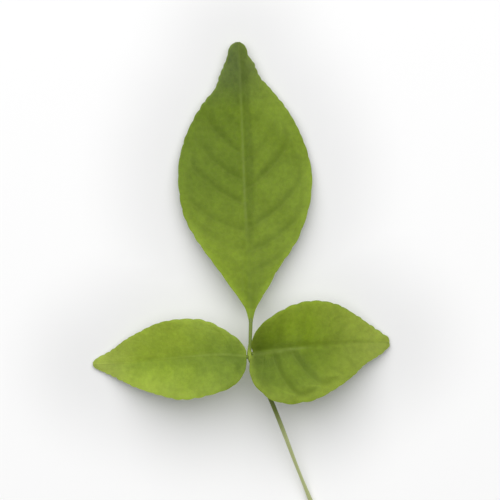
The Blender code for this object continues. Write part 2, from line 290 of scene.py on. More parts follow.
def stations_of(leaflet):
    """The leaflet's stations, with its tip as the last of them."""
    return np.array([*leaflet["stations"], [line.length for line in lines_of(leaflet)]], float)


def row_places(leaflet):
    """Where each row lies, counted in stations, with rows about row_step apart at their widest."""
    longest = np.diff(stations_of(leaflet), axis=0).max(axis=1)
    places = [
        i + np.arange(count) / count
        for i, count in enumerate(np.ceil(longest / leaflet["row_step"]).astype(int))
    ]
    return np.append(np.concatenate(places), len(longest))


def scalloped(margin, distance, place, side):
    """The margin, swung out at each scallop's crown and in at the notch between two."""
    ahead = margin.at(distance + MARGIN_PROBE) - margin.at(distance - MARGIN_PROBE)
    outward = np.stack([ahead[:, 1], -ahead[:, 0]], axis=-1) * side
    outward /= np.linalg.norm(outward, axis=1, keepdims=True)
    rng = np.random.default_rng(SCALLOP_SEED + side)
    spread = rng.uniform(-SCALLOP_SPREAD, SCALLOP_SPREAD, MOST_SCALLOPS)
    crown = (np.abs(np.sin(2 * np.pi * place)) - 0.5) * (1 + spread[(2 * place).astype(int)])
    to_tip = margin.length - distance
    fade = np.clip(np.minimum(distance / SCALLOP_FREE, to_tip / TIP_FREE), 0, 1)
    return margin.at(distance) + outward * (SCALLOP_DEPTH * crown * fade)[:, None]


def arc_between(start, end, bow, q):
    """Points at the shares q of a curve from start to end that bows towards the leaflet's base."""
    chord = end - start
    bend = start + 0.5 * chord
    bend[..., 1] -= bow * np.linalg.norm(chord, axis=-1)
    return (1 - q) ** 2 * start + 2 * q * (1 - q) * bend + q**2 * end


def plan_of(leaflet, column, place):
    """The plan of each grid point: x, y, its share q of the way to the margin and its chord."""
    midrib, *margins = lines_of(leaflet)
    stations = stations_of(leaflet)
    numbers = np.arange(len(stations))
    spine = midrib.at(np.interp(place, numbers, stations[:, 0]))
    share = np.abs(column)
    q = share - COLUMN_CROWDING * np.sin(2 * np.pi * share)
    plan = np.empty_like(spine)
    chord = np.empty(len(spine))
    for number, (margin, side) in enumerate(zip(margins, (-1, 1))):
        here = column < 0 if side < 0 else column >= 0
        distance = np.interp(place[here], numbers, stations[:, number + 1])
        edge = scalloped(margin, distance, place[here], side)
        plan[here] = arc_between(spine[here], edge, ROW_BOW, q[here][:, None])
        chord[here] = np.linalg.norm(edge - spine[here], axis=1)
    return plan, spine, q, chord


print("rows of points:", [len(row_places(leaflet)) for leaflet in LEAFLETS])

# %% [markdown]
# ## How the blade lies
#
# A fresh leaflet is never flat. It arches from the joint down to the table, its halves rise from
# the midrib like an open book, and its margins wave a little. These are smooth curves, so they are
# written as curves and added up. A few long sine waves with seeded phases keep it from looking
# like a machined part.

# %% Work out the heights of the smooth blade
WAVE_SHIFT = 1.1


def by_side(leaflet, name, side, y):
    """The leaflet's profile of this name, read for the half in which each point lies."""
    left, right = [profile(leaflet[name + half], y) for half in ("_left", "_right")]
    return np.where(side < 0, left, right)


def lie_of(leaflet, plan, spine, side):
    """The height of the smooth blade at each point of the plan."""
    across = np.linalg.norm(plan - spine, axis=1)
    along = 0.5 * (spine[:, 1] + np.maximum(plan[:, 1], 0))
    crease, reach = leaflet["crease"], leaflet["reach"]
    soft = np.sqrt(across**2 + crease**2) - crease
    fold = by_side(leaflet, "fold", side, along) * soft * (1 - across / (2 * reach))
    wave = np.sin(2 * np.pi * along / leaflet["wave_length"] + WAVE_SHIFT * side)
    wave *= leaflet["wave"] * (across / reach) ** 2
    return profile(leaflet["height"], along) + fold + wave


def rolling(plan, seed, lengths):
    """A slow unevenness from -1 to 1: for each length, a sine wave in a random direction."""
    rng = np.random.default_rng(seed)
    total = np.zeros(len(plan))
    for length in lengths:
        turn, phase = rng.uniform(0, 2 * np.pi, 2)
        direction = np.array([np.cos(turn), np.sin(turn)])
        total += np.sin(2 * np.pi * (plan @ direction) / length + phase)
    return total / len(lengths)


print("tips stand this high in mm:", [leaflet["height"][-1][1] for leaflet in LEAFLETS])

# %% [markdown]
# ## Veins that loop near the margin
#
# In a bael leaflet a side vein leaves the midrib at a wide angle, runs out in an arc and turns
# forward short of the margin, where it joins the next vein in a loop. From above it is a fine pale
# line at the bottom of a shallow valley. Each vein is built as a line of points, and every point
# of the blade then asks how far it is from the nearest one.

# %% Build the vein lines and measure the distance to them
VEIN_BOW = 0.2
VEIN_TURN = 0.78
LOOP_MEETS = 0.86
LOOP_LEAN = 0.5
ARC_FADE = 0.45
LOOP_FADE = 0.3
ARC_STEPS = 18
LOOP_STEPS = 8
FAR = 1e3


def vein_lines(leaflet, side):
    """The side veins of one half, each as its points and how strong it is at each of them."""
    half = "left" if side < 0 else "right"
    midrib, margin = Line(leaflet["midrib"]), Line(leaflet[half])
    veins = leaflet[half + "_veins"]
    ends = [(midrib.at(start), margin.at(end)) for start, end, _ in veins]
    lines = []
    for number, (start, end) in enumerate(ends):
        q = np.linspace(0, VEIN_TURN, ARC_STEPS)[:, None]
        points = arc_between(start, end, VEIN_BOW, q)
        strength = 1 - ARC_FADE * q[:, 0] ** 2
        if number + 1 < len(ends):
            meets = arc_between(*ends[number + 1], VEIN_BOW, np.array([LOOP_MEETS]))
            heading = points[-1] - points[-2]
            heading *= LOOP_LEAN * np.linalg.norm(meets - points[-1]) / np.linalg.norm(heading)
            bend = points[-1] + heading
            t = np.linspace(0, 1, LOOP_STEPS + 1)[1:, None]
            loop = (1 - t) ** 2 * points[-1] + 2 * t * (1 - t) * bend + t**2 * meets
            points = np.vstack([points, loop])
            strength = np.append(strength, strength[-1] - LOOP_FADE * t[:, 0])
        lines.append((points, strength * veins[number][2]))
    return lines


def nearest_vein(plan, lines, side):
    """The distance to the nearest vein, positive on its tip side, and how strong it is there."""
    distance = np.full(len(plan), FAR)
    strength = np.zeros(len(plan))
    for points, strengths in lines:
        for a, b, sa, sb in zip(points, points[1:], strengths, strengths[1:]):
            way = b - a
            off = plan - a
            t = np.clip(off @ way / (way @ way), 0, 1)
            here = np.linalg.norm(off - t[:, None] * way, axis=1)
            tipward = side * (way[0] * off[:, 1] - way[1] * off[:, 0]) > 0
            closer = here < np.abs(distance)
            distance[closer] = np.where(tipward, here, -here)[closer]
            strength[closer] = (sa + (sb - sa) * t)[closer]
    return distance, strength


print("points on each side vein:", [len(points) for points, _ in vein_lines(TERMINAL, -1)])

# %% [markdown]
# ## The net between the veins
#
# Between the side veins lies a net of finer veins, with meshes of one to two millimetres. Such a
# net is made well by cells around scattered points: every place belongs to its nearest point, and
# the borders between cells are the fine veins. The points are one to a square of a grid, moved at
# random from a fixed seed, so that only the nine squares around a place have to be searched.

# %% Measure the closeness to the fine net
NET_MESH = 1.7
NET_WIDTH = 0.26
NET_CELLS = 96
NET_SCATTER = (0.1, 0.9)


def net_of(plan, seed):
    """From 1 on a fine vein to 0 in the middle of its mesh."""
    shift = np.random.default_rng(seed).uniform(*NET_SCATTER, (NET_CELLS, NET_CELLS, 2))
    place = plan / NET_MESH + NET_CELLS / 2
    square = np.floor(place).astype(int)
    nearest = np.full(len(plan), FAR)
    second = np.full(len(plan), FAR)
    for dx in (-1, 0, 1):
        for dy in (-1, 0, 1):
            near = square + (dx, dy)
            seeds = near + shift[near[:, 0] % NET_CELLS, near[:, 1] % NET_CELLS]
            distance = np.linalg.norm(place - seeds, axis=1) * NET_MESH
            second = np.minimum(second, np.maximum(nearest, distance))
            nearest = np.minimum(nearest, distance)
    return np.exp(-(((second - nearest) / NET_WIDTH) ** 2))


# %% [markdown]
# ## Where each point of the blade lies
#
# Relief and colours follow from the same few distances, to the midrib, the margin, the nearest
# side vein and the net, so they always agree. No vein is equally strong all the way, so slow
# seeded waves make it uneven.

# %% Measure the blade
UNEVEN_VEINS = 0.3
UNEVEN_LENGTHS = (4.5, 7.0, 11.0)
LINE_WIDTH = 0.2
LINE_FADE = 0.8
MIDRIB_WIDTH = 0.4
MIDRIB_AT_TIP = 0.35
MARGIN_WIDTH = 0.45
MARGIN_FADE = 1.6
MIDRIB_CLEAR = 0.3
MIDRIB_FADE = 1.3


def bell(distance, width):
    """From 1 at no distance to nearly 0 at twice the width."""
    return np.exp(-((distance / width) ** 2))


def vein_marks(leaflet, plan, side, seed):
    """The signed distance to the nearest side vein and its strength, for both halves."""
    distance = np.empty(len(plan))
    strength = np.empty(len(plan))
    for here in (-1, 1):
        half = side == here
        distance[half], strength[half] = nearest_vein(plan[half], vein_lines(leaflet, here), here)
    return distance, strength * (1 + UNEVEN_VEINS * rolling(plan, seed, UNEVEN_LENGTHS))


def measure(leaflet, column, place, seed):
    """The plan of each point, and where it lies between midrib, margin, side veins and net."""
    plan, spine, q, chord = plan_of(leaflet, column, place)
    side = np.where(column < 0, -1, 1)
    across, to_margin = q * chord, (1 - q) * chord
    open_blade = np.clip((across - MIDRIB_CLEAR) / MIDRIB_FADE, 0, 1)
    open_blade *= np.clip(to_margin / MARGIN_FADE, 0, 1)
    distance, strength = vein_marks(leaflet, plan, side, seed)
    taper = MIDRIB_AT_TIP + (1 - MIDRIB_AT_TIP) * (1 - place / place.max())
    return SimpleNamespace(
        plan=plan, spine=spine, y=spine[:, 1], q=q, side=side, across=across, taper=taper,
        to_margin=to_margin, open_blade=open_blade, distance=distance, strength=strength,
        line=bell(distance, LINE_WIDTH) * np.clip(to_margin / LINE_FADE, 0, 1),
        net=net_of(plan, seed) * open_blade,
        rib=bell(across, MIDRIB_WIDTH * taper),
        edge=bell(to_margin, MARGIN_WIDTH),
    )


# %% [markdown]
# ## Both faces of the blade
#
# The upper face is the smooth blade with its relief. A side vein lies in a valley that is steep on
# the side of the tip and gentle on the side of the base, because each stretch of blade bulges over
# the vein before it. The midrib is a fine raised line in a channel, and the net is pressed in.
# The lower face follows the smooth blade one thickness below, with the midrib standing out as a
# keel and the veins raised. So the two faces are not copies of each other, which is what makes the
# thin sheet read as a leaf from below too.

# %% Shape the upper face
SWAY_HEIGHT = 0.15
SWAY_LENGTHS = (7.0, 9.5, 12.5)
SWAY_FADE = 2.0
VALLEY_DEPTH = 0.25
VALLEY_STEEP = 1.3
VALLEY_GENTLE = 2.2
BULGE = 0.1
LINE_HEIGHT = 0.025
MIDRIB_HEIGHT = 0.05
CHANNEL_DEPTH = 0.12
CHANNEL_WIDTH = 1.1
NET_DEPTH = 0.022
MARGIN_ROLL = 0.07


def upper_face(leaflet, at, seed):
    """The heights of the smooth blade and of its upper face with the relief."""
    sway = rolling(at.plan, seed, SWAY_LENGTHS) * np.clip(at.across / SWAY_FADE, 0, 1)
    smooth = lie_of(leaflet, at.plan, at.spine, at.side) + SWAY_HEIGHT * sway
    valley = bell(at.distance, np.where(at.distance > 0, VALLEY_STEEP, VALLEY_GENTLE))
    upper = smooth + at.open_blade * (BULGE - VALLEY_DEPTH * at.strength * valley)
    upper += LINE_HEIGHT * at.strength * at.line - NET_DEPTH * at.net - MARGIN_ROLL * at.edge
    channel = CHANNEL_DEPTH * profile(leaflet["channel"], at.y) * bell(at.across, CHANNEL_WIDTH)
    return smooth, upper + at.taper * (MIDRIB_HEIGHT * at.rib - channel)


print("the valley of a strong side vein is", VALLEY_DEPTH, "mm deep")

# %% Shape the lower face
BLADE_THICKNESS = 0.34
MARGIN_THICKNESS = 0.2
MARGIN_THINNING = 1.2
SOLID_THICKNESS = 0.66
KEEL_FOOT = 0.45
UNDER_VEIN_HEIGHT = 0.2
UNDER_VEIN_WIDTH = 0.34
UNDER_NET_HEIGHT = 0.035


def lower_face(leaflet, at, smooth, upper):
    """The heights of the lower face, with its keel and its raised veins."""
    thinner = (BLADE_THICKNESS - MARGIN_THICKNESS) * bell(at.to_margin, MARGIN_THINNING)
    lower = np.minimum(smooth, upper) - (BLADE_THICKNESS - thinner) - UNDER_NET_HEIGHT * at.net
    raised = bell(at.distance, UNDER_VEIN_WIDTH) * at.strength * at.open_blade
    lower -= UNDER_VEIN_HEIGHT * raised
    half_width = profile(leaflet["ridge_half_width"], at.y) + KEEL_FOOT
    keel = 0.5 + 0.5 * np.cos(np.pi * np.clip(at.across / half_width, 0, 1))
    depth = SOLID_THICKNESS + profile(leaflet["ridge_depth"], at.y)
    keel_foot = profile(leaflet["height"], at.y) - depth
    lower = lower * (1 - keel) + np.minimum(lower, keel_foot) * keel
    return np.maximum(lower, 0.0)


print("the blade is", BLADE_THICKNESS, "mm thick and", MARGIN_THICKNESS, "mm at its margin")

# %% [markdown]
# ## Marks that the finish reads
#
# The marks tell the finish where the side veins, the net, the midrib and the margin lie. Some are
# seen as colour only: painted shade in bands beside the veins and the midrib and along the midrib
# near the leaflet's base, the yellower rims and the pale line of the midrib.

# %% Mark the blade for its finish
UNEVEN_MIDRIB = 0.5
MIDRIB_LENGTHS = (1.6, 2.7, 4.4)
SHADE_PLACE = 0.8
SHADE_WIDTH = 0.9
BASE_SHADE_WIDTH = 4.0
RIM_WIDTH = 4.2
PALE_WIDTH = 0.46


def marks_of(leaflet, at, seed):
    """The marks of each point, most of them from 0 to 1."""
    centres, width, shades = leaflet["midrib_painted_shade"]
    centre, pales = leaflet["midrib_line"]
    lumps = 1 + UNEVEN_MIDRIB * rolling(at.plan, seed + 1, MIDRIB_LENGTHS)
    to_right = at.across * at.side
    # Painted shade: a band beside the midrib, and a band on the tip side of each side vein where
    # its valley turns from the light.
    band = bell(to_right - profile(centres, at.y), width) * lumps * profile(shades, at.y)
    beside = at.strength * at.open_blade * bell(at.distance - SHADE_PLACE, SHADE_WIDTH)
    return {
        "along": np.clip(at.plan[:, 1] / at.y.max(), 0, 1),
        "across": at.q * at.side,
        "vein": at.strength * at.line,
        "rib": at.rib,
        "net": at.net,
        "edge": at.edge,
        "rim": bell(at.to_margin, RIM_WIDTH) * by_side(leaflet, "rim", at.side, at.y),
        # Painted shade along the midrib near the leaflet's base, where it meets the joint.
        "base_shade": bell(at.across, BASE_SHADE_WIDTH) * profile(leaflet["base_shade"], at.y),
        "pale": bell(to_right - centre, PALE_WIDTH) * lumps * profile(pales, at.y),
        "shade": np.maximum(beside, band),
    }


# %% [markdown]
# ## From a grid to a closed blade
#
# The grid is added with bpy.ops and its points are moved to the upper face. The Solidify modifier
# gives the sheet its second face and closes the edge, and once it is applied, the second half of
# the points is the lower face, in the same order as the first. Those points then go to the heights
# of the lower face. The marks are stored as attributes, which the finish reads later.

# %% Make the three blades
SMOOTH_ANGLE = math.radians(50)


def grid_named(name, columns, rows, size):
    bpy.ops.mesh.primitive_grid_add(x_subdivisions=columns, y_subdivisions=rows, size=size)
    sheet = bpy.context.active_object
    sheet.name = name
    sheet.data.name = name
    return sheet


def coordinates_of(mesh):
    flat = np.empty(len(mesh.vertices) * 3)
    mesh.vertices.foreach_get("co", flat)
    return flat.reshape(-1, 3)


def put_coordinates(mesh, places):
    mesh.vertices.foreach_set("co", np.ascontiguousarray(places, float).ravel())
    mesh.update()


def set_mark(mesh, name, values):
    mark = mesh.attributes.new(name, "FLOAT", "POINT")
    mark.data.foreach_set("value", np.ascontiguousarray(values, np.float32))


def in_frame(leaflet, plan, height):
    """Points of the leaflet's own frame in metres in the common frame."""
    turn = math.radians(leaflet["heading_deg"])
    base = np.array(LEAF_JOINT) + leaflet["base"]
    x = base[0] + plan[:, 0] * math.cos(turn) - plan[:, 1] * math.sin(turn)
    y = base[1] + plan[:, 0] * math.sin(turn) + plan[:, 1] * math.cos(turn)
    return np.stack([x, y, height], axis=-1) * MM


def make_blade(name, leaflet, seed):
    """A grid laid out as the blade, with both faces, its closed margin and its marks."""
    rows = row_places(leaflet)
    blade = grid_named(name, leaflet["columns"], len(rows) - 1, 2)
    grid = coordinates_of(blade.data)
    place = np.interp(grid[:, 1], np.linspace(-1, 1, len(rows)), rows)
    at = measure(leaflet, grid[:, 0], place, seed)
    smooth, upper = upper_face(leaflet, at, seed)
    lower = lower_face(leaflet, at, smooth, upper)
    put_coordinates(blade.data, in_frame(leaflet, at.plan, upper))
    solidify = blade.modifiers.new("lower face", "SOLIDIFY")
    solidify.thickness = BLADE_THICKNESS * MM
    solidify.offset = -1
    bpy.ops.object.modifier_apply(modifier=solidify.name)
    count = len(grid)
    places = coordinates_of(blade.data)
    places[count:] = in_frame(leaflet, at.plan, lower)
    put_coordinates(blade.data, places)
    for mark, values in marks_of(leaflet, at, seed).items():
        set_mark(blade.data, mark, np.tile(values, 2))
    set_mark(blade.data, "under", np.repeat([0.0, 1.0], count))
    bpy.ops.object.shade_smooth_by_angle(angle=SMOOTH_ANGLE)
    print(name, "has", len(blade.data.vertices), "points, of which", count, "on its upper face")
    return blade


terminal_blade = make_blade("terminal_blade", TERMINAL, 11)
left_blade = make_blade("left_blade", LEFT, 23)
right_blade = make_blade("right_blade", RIGHT, 37)

# %% [markdown]
# ## The petiole and the rachis
#
# The stalk is round below and has a shallow channel above. It grew as one piece from the twig to
# the terminal leaflet, and it swells at its foot and at the leaf joint. A curve with a round bevel
# and a radius at each of its points makes such a taper with few numbers. It is then turned to a
# mesh, the channel is pressed in, and what rests on the table is made flat. The cut end is inset
# and sunk a little, because the soft pith dries back from the rind.

# %% Make the stalk
STALK_LINE = [(16.65, -40.0, 0.62), (15.95, -38.2, 0.64), (15.15, -36.2, 0.88),
              (11.57, -27.3, 2.7), (8.3, -18.6, 5.0), (5.2, -10.9, 7.2), (2.2, -4.6, 8.6),
              (0.0, 0.0, 9.15), (0.05, 3.6, 8.75), (0.18, 8.5, 7.2)]
STALK_RADIUS = [(0, 0.72), (1.2, 0.7), (4, 0.56), (25, 0.54), (40, 0.6), (43.8, 0.68),
                (46, 0.5), (52.4, 0.46)]
STALK_STEP = 0.35
STALK_SAMPLE = 0.1
STALK_PROBE = 0.4
STALK_BEVEL = 8
STALK_CHANNEL_DEPTH = 0.24
STALK_CHANNEL_WIDTH = 0.5
CUT_RIND = 0.16
CUT_SINK = 0.1


def make_stalk():
    """A bevelled curve turned to a mesh, with its ends closed, its channel and its cut."""
    line = Line(STALK_LINE)
    distance = np.arange(0, line.length, STALK_STEP)
    centre = line.at(distance) + (*LEAF_JOINT, 0)
    bpy.ops.curve.primitive_bezier_curve_add()
    stalk = bpy.context.active_object
    stalk.name = "stalk"
    curve = stalk.data
    curve.splines.clear()
    spline = curve.splines.new("POLY")
    spline.points.add(len(centre) - 1)
    for point, place, radius in zip(spline.points, centre, profile(STALK_RADIUS, distance)):
        point.co = (*(place * MM), 1)
        point.radius = radius
    curve.dimensions = "3D"
    curve.bevel_depth = MM
    curve.bevel_resolution = STALK_BEVEL
    bpy.ops.object.convert(target="MESH")
    bpy.ops.object.mode_set(mode="EDIT")
    bpy.ops.mesh.select_all(action="SELECT")
    bpy.ops.mesh.fill_holes(sides=0)
    bpy.ops.mesh.normals_make_consistent(inside=False)
    bpy.ops.object.mode_set(mode="OBJECT")
    shape_stalk(stalk, line)
    sink_cut(stalk)
    bpy.ops.object.shade_smooth_by_angle(angle=SMOOTH_ANGLE)
    return stalk


def shape_stalk(stalk, line):
    """Presses the channel in along the top, flattens what rests, and marks the way along."""
    places = coordinates_of(stalk.data) / MM - (*LEAF_JOINT, 0)
    samples = np.arange(0, line.length, STALK_SAMPLE)
    gaps = np.linalg.norm(places[:, None] - line.at(samples)[None], axis=2)
    along = samples[gaps.argmin(axis=1)]
    ahead = line.at(along + STALK_PROBE) - line.at(along - STALK_PROBE)
    ahead /= np.linalg.norm(ahead, axis=1, keepdims=True)
    out = places - line.at(along)
    out -= (out * ahead).sum(axis=1, keepdims=True) * ahead
    up = np.array([0, 0, 1]) - ahead[:, 2:] * ahead
    up /= np.linalg.norm(up, axis=1, keepdims=True)
    sideways = np.cross(ahead, up)
    angle = np.arctan2((out * sideways).sum(axis=1), (out * up).sum(axis=1))
    channel = bell(angle, STALK_CHANNEL_WIDTH)
    places -= out * (STALK_CHANNEL_DEPTH * channel)[:, None]
    places[:, 2] = np.maximum(places[:, 2], 0)
    put_coordinates(stalk.data, (places + (*LEAF_JOINT, 0)) * MM)
    set_mark(stalk.data, "along", along / line.length)
    set_mark(stalk.data, "channel", channel)
    print("stalk is", round(line.length, 1), "mm long")


def sink_cut(stalk):
    """Insets the face of the cut for its rind and its slope, sinks it and marks it."""
    bpy.ops.object.mode_set(mode="EDIT")
    bpy.ops.mesh.select_all(action="DESELECT")
    bpy.ops.object.mode_set(mode="OBJECT")
    cut = min((f for f in stalk.data.polygons if len(f.vertices) > 4), key=lambda f: f.center.y)
    cut.select = True
    inward = -Vector(cut.normal) * CUT_SINK * MM
    bpy.ops.object.mode_set(mode="EDIT")
    bpy.ops.mesh.select_mode(type="FACE")
    bpy.ops.mesh.inset(thickness=CUT_RIND * MM)
    bpy.ops.mesh.inset(thickness=CUT_RIND * MM)
    bpy.ops.transform.translate(value=inward)
    bpy.ops.object.mode_set(mode="OBJECT")
    values = np.zeros(len(stalk.data.vertices))
    for face in stalk.data.polygons:
        if face.select:
            values[list(face.vertices)] = 1
    set_mark(stalk.data, "pith", values)


stalk = make_stalk()

# %% [markdown]
# ## The pads at the leaflets' bases
#
# Each leaflet sits on a short, thick pad of its own, where it falls off in autumn. The pad is
# slightly swollen and wrinkled across. A sphere is stretched along the pad's axis and ringed with
# shallow wrinkles. It reaches into the stalk on one side and into the midrib on the other, so no
# gap shows.

# %% Make the three pads
PAD_SEGMENTS = 28
PAD_RINGS = 20
PAD_WRINKLES = 4
PAD_WRINKLE_DEPTH = 0.035
PADS = {
    "terminal_pad": ((0.16, 7.9, 7.3), (0.24, 9.7, 6.75), 0.52),
    "left_pad": ((-0.25, -0.02, 9.3), (-1.55, -0.14, 9.85), 0.5),
    "right_pad": ((0.25, 0.7, 9.25), (1.55, 0.92, 9.85), 0.5),
}


def make_pad(name, start, end, radius):
    """A sphere stretched from start to end, with wrinkles around it."""
    start = Vector(start) + LEAF_JOINT.to_3d()
    end = Vector(end) + LEAF_JOINT.to_3d()
    bpy.ops.mesh.primitive_uv_sphere_add(segments=PAD_SEGMENTS, ring_count=PAD_RINGS, radius=1)
    pad = bpy.context.active_object
    pad.name = name
    places = coordinates_of(pad.data)
    ring = 1 - PAD_WRINKLE_DEPTH * np.cos(2 * np.pi * PAD_WRINKLES * places[:, 2])
    places[:, :2] *= radius * ring[:, None]
    places[:, 2] *= (end - start).length / 2
    turn = (end - start).to_track_quat("Z", "Y").to_matrix()
    places = places @ np.array(turn).T + np.array((start + end) / 2)
    put_coordinates(pad.data, places * MM)
    bpy.ops.object.shade_smooth()
    return pad


pads = [make_pad(name, *shape) for name, shape in PADS.items()]
print("pads:", [pad.name for pad in pads])

# %% [markdown]
# ## Small helpers for the finishes
#
# A material in Blender is a net of nodes. One small function adds a node and sets or links its
# inputs, and a few others stand for what comes again and again, such as a noise, a bump, or a
# colour laid over another one.

# %% Add nodes and set their inputs
def linear(hex_colour):
    """An sRGB hex colour as linear RGBA."""
    parts = [int(hex_colour[i:i + 2], 16) / 255 for i in (1, 3, 5)]
    return (*[p / 12.92 if p <= 0.04045 else ((p + 0.055) / 1.055) ** 2.4 for p in parts], 1.0)


def set_inputs(node, values):
    """Links each input whose value is a socket, and sets the others. Text is a hex colour."""
    for name, value in values.items():
        if isinstance(value, bpy.types.NodeSocket):
            node.id_data.links.new(value, node.inputs[name])
        else:
            node.inputs[name].default_value = linear(value) if isinstance(value, str) else value


def add(tree, kind, inputs, **properties):
    """Adds a node with its properties and its inputs."""
    node = tree.nodes.new(kind)
    for name, value in properties.items():
        setattr(node, name, value)
    set_inputs(node, inputs)
    return node


def new_finish(name):
    finish = bpy.data.materials.new(name)
    finish.use_nodes = True
    return finish, finish.node_tree, finish.node_tree.nodes["Principled BSDF"]


print("a middle grey, linear:", [round(v, 3) for v in linear("#808080")])


# %% Read marks, make noises and lay colours over each other
def marks_in(tree, *names):
    """The marks of these names, as sockets."""
    return {
        name: add(tree, "ShaderNodeAttribute", {}, attribute_name=name).outputs["Fac"]
        for name in names
    }


def place_in(tree):
    return add(tree, "ShaderNodeTexCoord", {}).outputs["Object"]


def noise_in(tree, place, size, detail, roughness=0.5):
    """A noise with lumps of about this size in mm."""
    inputs = {"Vector": place, "Scale": 1 / (size * MM), "Detail": detail, "Roughness": roughness}
    return add(tree, "ShaderNodeTexNoise", inputs).outputs["Fac"]


def bump_of(tree, height, strength, depth, **below):
    """The shading of a small relief of this depth in mm."""
    inputs = {"Height": height, "Strength": strength, "Distance": depth * MM, **below}
    return add(tree, "ShaderNodeBump", inputs).outputs[0]


def ramp(tree, value, low, high, top=1.0, bottom=0.0):
    """From bottom to top as the value goes from low to high."""
    inputs = {0: value, 1: low, 2: high, 3: bottom, 4: top}
    return add(tree, "ShaderNodeMapRange", inputs).outputs[0]


def mix(tree, share, first, second):
    """The colour between first and second. Each is a hex colour or a socket."""
    inputs = {0: share, 6: first, 7: second}
    return add(tree, "ShaderNodeMix", inputs, data_type="RGBA").outputs[2]


def layered(tree, colour, shows, layers):
    """The colour under layers. Each is what shows it, from where to where, its share and green."""
    for key, low, high, share, green in layers:
        colour = mix(tree, ramp(tree, shows[key], low, high, share), colour, green)
    return colour


# %% [markdown]
# ## The blade's finish
#
# A bael blade is thin living tissue under a smooth, slightly waxy skin. It scatters light inside,
# so it looks softer than paint of the same colour. Each half has three greens, for its base, its
# middle and its tip, and base_fades and tip_grows say where one passes into the next. The
# laterals' darker base greens and the darker middle green of the terminal's left half are partly
# painted shade. Painted shade darkens the blade along the midrib near its base and in bands beside
# the veins and the midrib, and the margins are yellower. Soft mottling and a fine grain make it a
# little darker and lighter, and tiny oil glands show as lighter dots. The lower face is paler and
# duller, with pale veins. Each leaflet has its own greens, as no two are quite the same age.

# %% Make the blade's finish
GLAND_SPACING = 0.55
GLAND_SIZE = 0.17
CELL_GRAIN = 0.25
MOTTLE = 3.4
FLECK = 1.2
TONES = (("mottle", 0.045), ("flecks", 0.07), ("grain", 0.035))
TONE_RANGE = (0.38, 0.62)
WAX_RANGE = (0.3, 0.7)
WAX_ROUGHNESS = (0.56, 0.42)
UNDER_ROUGHNESS = 0.72
CELL_BUMP = (0.35, 0.05)
GLAND_BUMP = (0.25, 0.06)
HALVES_MEET = 0.2
TISSUE_AND_BASE_SHADE = (
    # painted shade along the midrib near the base
    ("base_shade", 0, 1, 0.45, "base_shade"),
    ("rim", 0, 1, 0.65, "rim"),
    ("mottle", 0.4, 0.7, 0.14, "mottle"),
)
VEINS_AND_PAINTED_SHADE = (
    ("net", 0, 1, 0.12, "vein"),
    ("glands", GLAND_SIZE, 0, 0.2, "vein"),
    # painted shade beside the veins and the midrib
    ("shade", 0, 1, 0.38, "shade"),
    ("vein", 0, 1, 0.15, "vein"),
    ("edge", 0.3, 1, 0.4, "margin"),
    ("pale", 0, 1, 0.7, "midrib"),
)
UNDERSIDE = (
    ("mottle", 0.3, 0.8, 0.5, "under_mottle"),
    ("net", 0.2, 1, 0.35, "under_vein"),
    ("vein", 0.1, 0.8, 0.7, "under_vein"),
    ("rib", 0.05, 0.5, 0.9, "under_vein"),
)


def patterns_in(tree):
    """The blade's marks, and the noises and dots of its tissue."""
    place = place_in(tree)
    glands = {"Vector": place, "Scale": 1 / (GLAND_SPACING * MM)}
    return {
        **marks_in(tree, "along", "across", "vein", "rib", "net", "edge"),
        **marks_in(tree, "rim", "base_shade", "pale", "shade", "under"),
        "mottle": noise_in(tree, place, MOTTLE, 4.0),
        "flecks": noise_in(tree, place, FLECK, 4.0, 0.6),
        "grain": noise_in(tree, place, CELL_GRAIN, 2.0),
        "glands": add(tree, "ShaderNodeTexVoronoi", glands).outputs["Distance"],
    }


def toned(tree, colour, noise, swing):
    """The colour, darker and lighter by up to swing as the noise goes through its range."""
    inputs = {0: colour, "Scale": ramp(tree, noise, *TONE_RANGE, 1 + swing, 1 - swing)}
    return add(tree, "ShaderNodeVectorMath", inputs, operation="SCALE").outputs[0]


def coloured(layers, greens):
    """The layers with the leaflet's own greens."""
    return [(*layer, greens[green]) for *layer, green in layers]


def upper_colour(tree, shows, greens):
    halves = []
    for base, middle, tip in (greens["left"], greens["right"]):
        half = mix(tree, ramp(tree, shows["along"], *greens["base_fades"]), base, middle)
        halves.append(mix(tree, ramp(tree, shows["along"], *greens["tip_grows"]), half, tip))
    colour = mix(tree, ramp(tree, shows["across"], -HALVES_MEET, HALVES_MEET), *halves)
    colour = layered(tree, colour, shows, coloured(TISSUE_AND_BASE_SHADE, greens))
    for noise, swing in TONES:
        colour = toned(tree, colour, shows[noise], swing)
    return layered(tree, colour, shows, coloured(VEINS_AND_PAINTED_SHADE, greens))


def blade_finish(name, greens):
    """Living leaf tissue: a soft waxy green above, paler and matt below."""
    finish, tree, skin = new_finish(name)
    shows = patterns_in(tree)
    upper = upper_colour(tree, shows, greens)
    lower = layered(tree, greens["under"], shows, coloured(UNDERSIDE, greens))
    waxy = ramp(tree, shows["grain"], *WAX_RANGE, *WAX_ROUGHNESS)
    rough = {0: shows["under"], 2: waxy, 3: UNDER_ROUGHNESS}
    cells = bump_of(tree, shows["grain"], *CELL_BUMP)
    dots = ramp(tree, shows["glands"], GLAND_SIZE, 0.0)
    set_inputs(skin, {
        "Base Color": mix(tree, shows["under"], upper, lower),
        "Roughness": add(tree, "ShaderNodeMix", rough, data_type="FLOAT").outputs[0],
        "Normal": bump_of(tree, dots, *GLAND_BUMP, Normal=cells),
        "Specular IOR Level": 0.12,
        "Subsurface Weight": 0.12,
        "Subsurface Radius": (0.5, 1.0, 0.1),
        "Subsurface Scale": 0.4 * MM,
    })
    return finish


print("layers above and below:", (len(TISSUE_AND_BASE_SHADE + VEINS_AND_PAINTED_SHADE), len(UNDERSIDE)))
